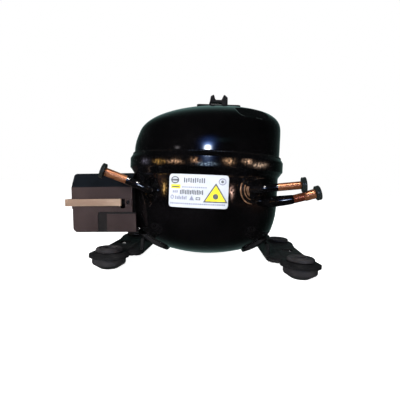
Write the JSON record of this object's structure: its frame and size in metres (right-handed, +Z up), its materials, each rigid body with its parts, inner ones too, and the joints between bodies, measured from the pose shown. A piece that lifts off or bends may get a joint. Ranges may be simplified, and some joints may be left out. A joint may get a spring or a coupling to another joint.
{
  "type": "hermetic reciprocating compressor",
  "caption": "Sealed household refrigeration compressor: black domed shell on rubber feet, side terminal cover with bail, copper stubs with plugs, full piston pump inside.",
  "frame": {"origin": "middle of the bounding box on the floor under the feet", "axes": "+Z up, -Y towards the label side, +X towards the pair of connection tubes"},
  "size_m": [0.2331, 0.1348, 0.1688],
  "materials": {
    "black_shell_paint": "gloss",
    "black_bracket_paint": "semi-gloss",
    "foot_rubber": "matte",
    "plug_rubber": "matte",
    "label_film": "satin",
    "copper": "drawn copper",
    "header_steel": "plated",
    "pin_metal": "plated",
    "starter_plastic": "matte",
    "protector_plastic": "satin",
    "cover_plastic": "matte",
    "bail_zinc": "yellow zinc",
    "lamination_steel": "stamped",
    "winding_copper": "varnished wire",
    "bolt_steel": "plain",
    "spring_steel": "plain",
    "grey_iron": "as cast",
    "ground_steel": "ground",
    "gasket_fibre": "fibre",
    "cast_aluminium": "die cast",
    "muffler_plastic": "moulded",
    "shaft_steel": "phosphated",
    "slider_metal": "sintered",
    "counterweight_brass": "cast"
  },
  "bodies": {
    "housing": {"lower_shell": "black_shell_paint", "upper_shell": "black_shell_paint", "top_strip": "black_bracket_paint", "top_clip": "black_bracket_paint", "left_foot_plate": "black_bracket_paint", "right_foot_plate": "black_bracket_paint", "left_front_foot": "foot_rubber", "left_rear_foot": "foot_rubber", "right_front_foot": "foot_rubber", "right_rear_foot": "foot_rubber", "rating_label": "label_film", "suction_tube": "copper", "suction_boss": "black_shell_paint", "discharge_tube": "copper", "process_tube": "copper", "terminal_header": "header_steel", "upper_terminal_pin": "pin_metal", "front_terminal_pin": "pin_metal", "rear_terminal_pin": "pin_metal", "terminal_bracket": "black_bracket_paint", "ptc_starter": "starter_plastic", "overload_protector": "protector_plastic", "suspension_spring_1": "spring_steel", "suspension_spring_2": "spring_steel", "suspension_spring_3": "spring_steel", "suspension_spring_4": "spring_steel", "discharge_line": "copper"},
    "pump": {"stator_core": "lamination_steel", "stator_winding": "winding_copper", "stator_bolt_1": "bolt_steel", "stator_bolt_2": "bolt_steel", "stator_bolt_3": "bolt_steel", "stator_bolt_4": "bolt_steel", "crankcase": "grey_iron", "suction_reed": "ground_steel", "valve_plate": "ground_steel", "head_gasket": "gasket_fibre", "cylinder_head": "cast_aluminium", "head_bolt_1": "bolt_steel", "head_bolt_2": "bolt_steel", "head_bolt_3": "bolt_steel", "head_bolt_4": "bolt_steel", "suction_muffler": "muffler_plastic"},
    "discharge_valve": {"discharge_reed": "ground_steel"},
    "crank": {"crankshaft": "shaft_steel", "rotor_core": "lamination_steel", "rotor_cage": "cast_aluminium", "counterweight": "counterweight_brass", "oil_pickup": "bolt_steel"},
    "slider": {"slider_block": "slider_metal"},
    "gallery_plug": {"oil_gallery_plug": "bolt_steel"},
    "piston_assembly": {"piston": "shaft_steel", "slide_tube": "ground_steel"},
    "cover": {"terminal_cover": "cover_plastic"},
    "bail": {"cover_bail": "bail_zinc"},
    "suction_cap": {"suction_plug": "plug_rubber"},
    "discharge_cap": {"discharge_plug": "plug_rubber"},
    "process_cap": {"process_plug": "plug_rubber"}
  },
  "joints": [
    {"name": "pump_bounce", "type": "slide", "parent": "housing", "child": "pump", "axis": [0, 0, 1], "range_m": [-0.002, 0.002], "stiffness_N_per_m": 20000, "springref_m": 0.00147, "deforming": ["suspension_spring_1", "suspension_spring_2", "suspension_spring_3", "suspension_spring_4", "discharge_line"]},
    {"name": "discharge_reed_lift", "type": "hinge", "parent": "pump", "child": "discharge_valve", "pos_m": [0.0539, 0, 0.126], "axis": [0, -1, 0], "range_deg": [0, 8], "stiffness_Nm_per_rad": 0.02},
    {"name": "crank_spin", "type": "hinge", "parent": "pump", "child": "crank", "pos_m": [0.0092, 0, 0.08], "axis": [0, 0, 1], "continuous": true},
    {"name": "slider_turn", "type": "hinge", "parent": "crank", "child": "slider", "pos_m": [0.0152, 0, 0.118], "axis": [0, 0, 1], "continuous": true},
    {"name": "plug_turn", "type": "hinge", "parent": "crank", "child": "gallery_plug", "pos_m": [0.0122, 0, 0.115], "axis": [0, 0, 1], "continuous": true},
    {"name": "piston_stroke", "type": "hinge", "parent": "gallery_plug", "child": "piston_assembly", "pos_m": [0.0152, 0, 0.118], "axis": [0, 0, 1], "continuous": true},
    {"name": "cover_pull", "type": "slide", "parent": "housing", "child": "cover", "axis": [-0.9986, 0, -0.0523], "range_m": [0, 0.06]},
    {"name": "bail_swing", "type": "hinge", "parent": "cover", "child": "bail", "pos_m": [-0.05646, 0, 0.05811], "axis": [0, -1, 0], "range_deg": [0, 34]},
    {"name": "suction_plug_pull", "type": "slide", "parent": "housing", "child": "suction_cap", "axis": [0.984, -0.1177, 0.1337], "range_m": [0, 0.0075]},
    {"name": "discharge_plug_pull", "type": "slide", "parent": "housing", "child": "discharge_cap", "axis": [0.9546, -0.0542, 0.2929], "range_m": [0, 0.02]},
    {"name": "process_plug_pull", "type": "slide", "parent": "housing", "child": "process_cap", "axis": [-0.9257, -0.1819, 0.3317], "range_m": [0, 0.02]}
  ],
  "couplings": [
    {"joint": "slider_turn", "follows": "crank_spin", "ratio": -1},
    {"joint": "plug_turn", "follows": "crank_spin", "ratio": -2},
    {"joint": "piston_stroke", "follows": "crank_spin", "ratio": 1}
  ]
}
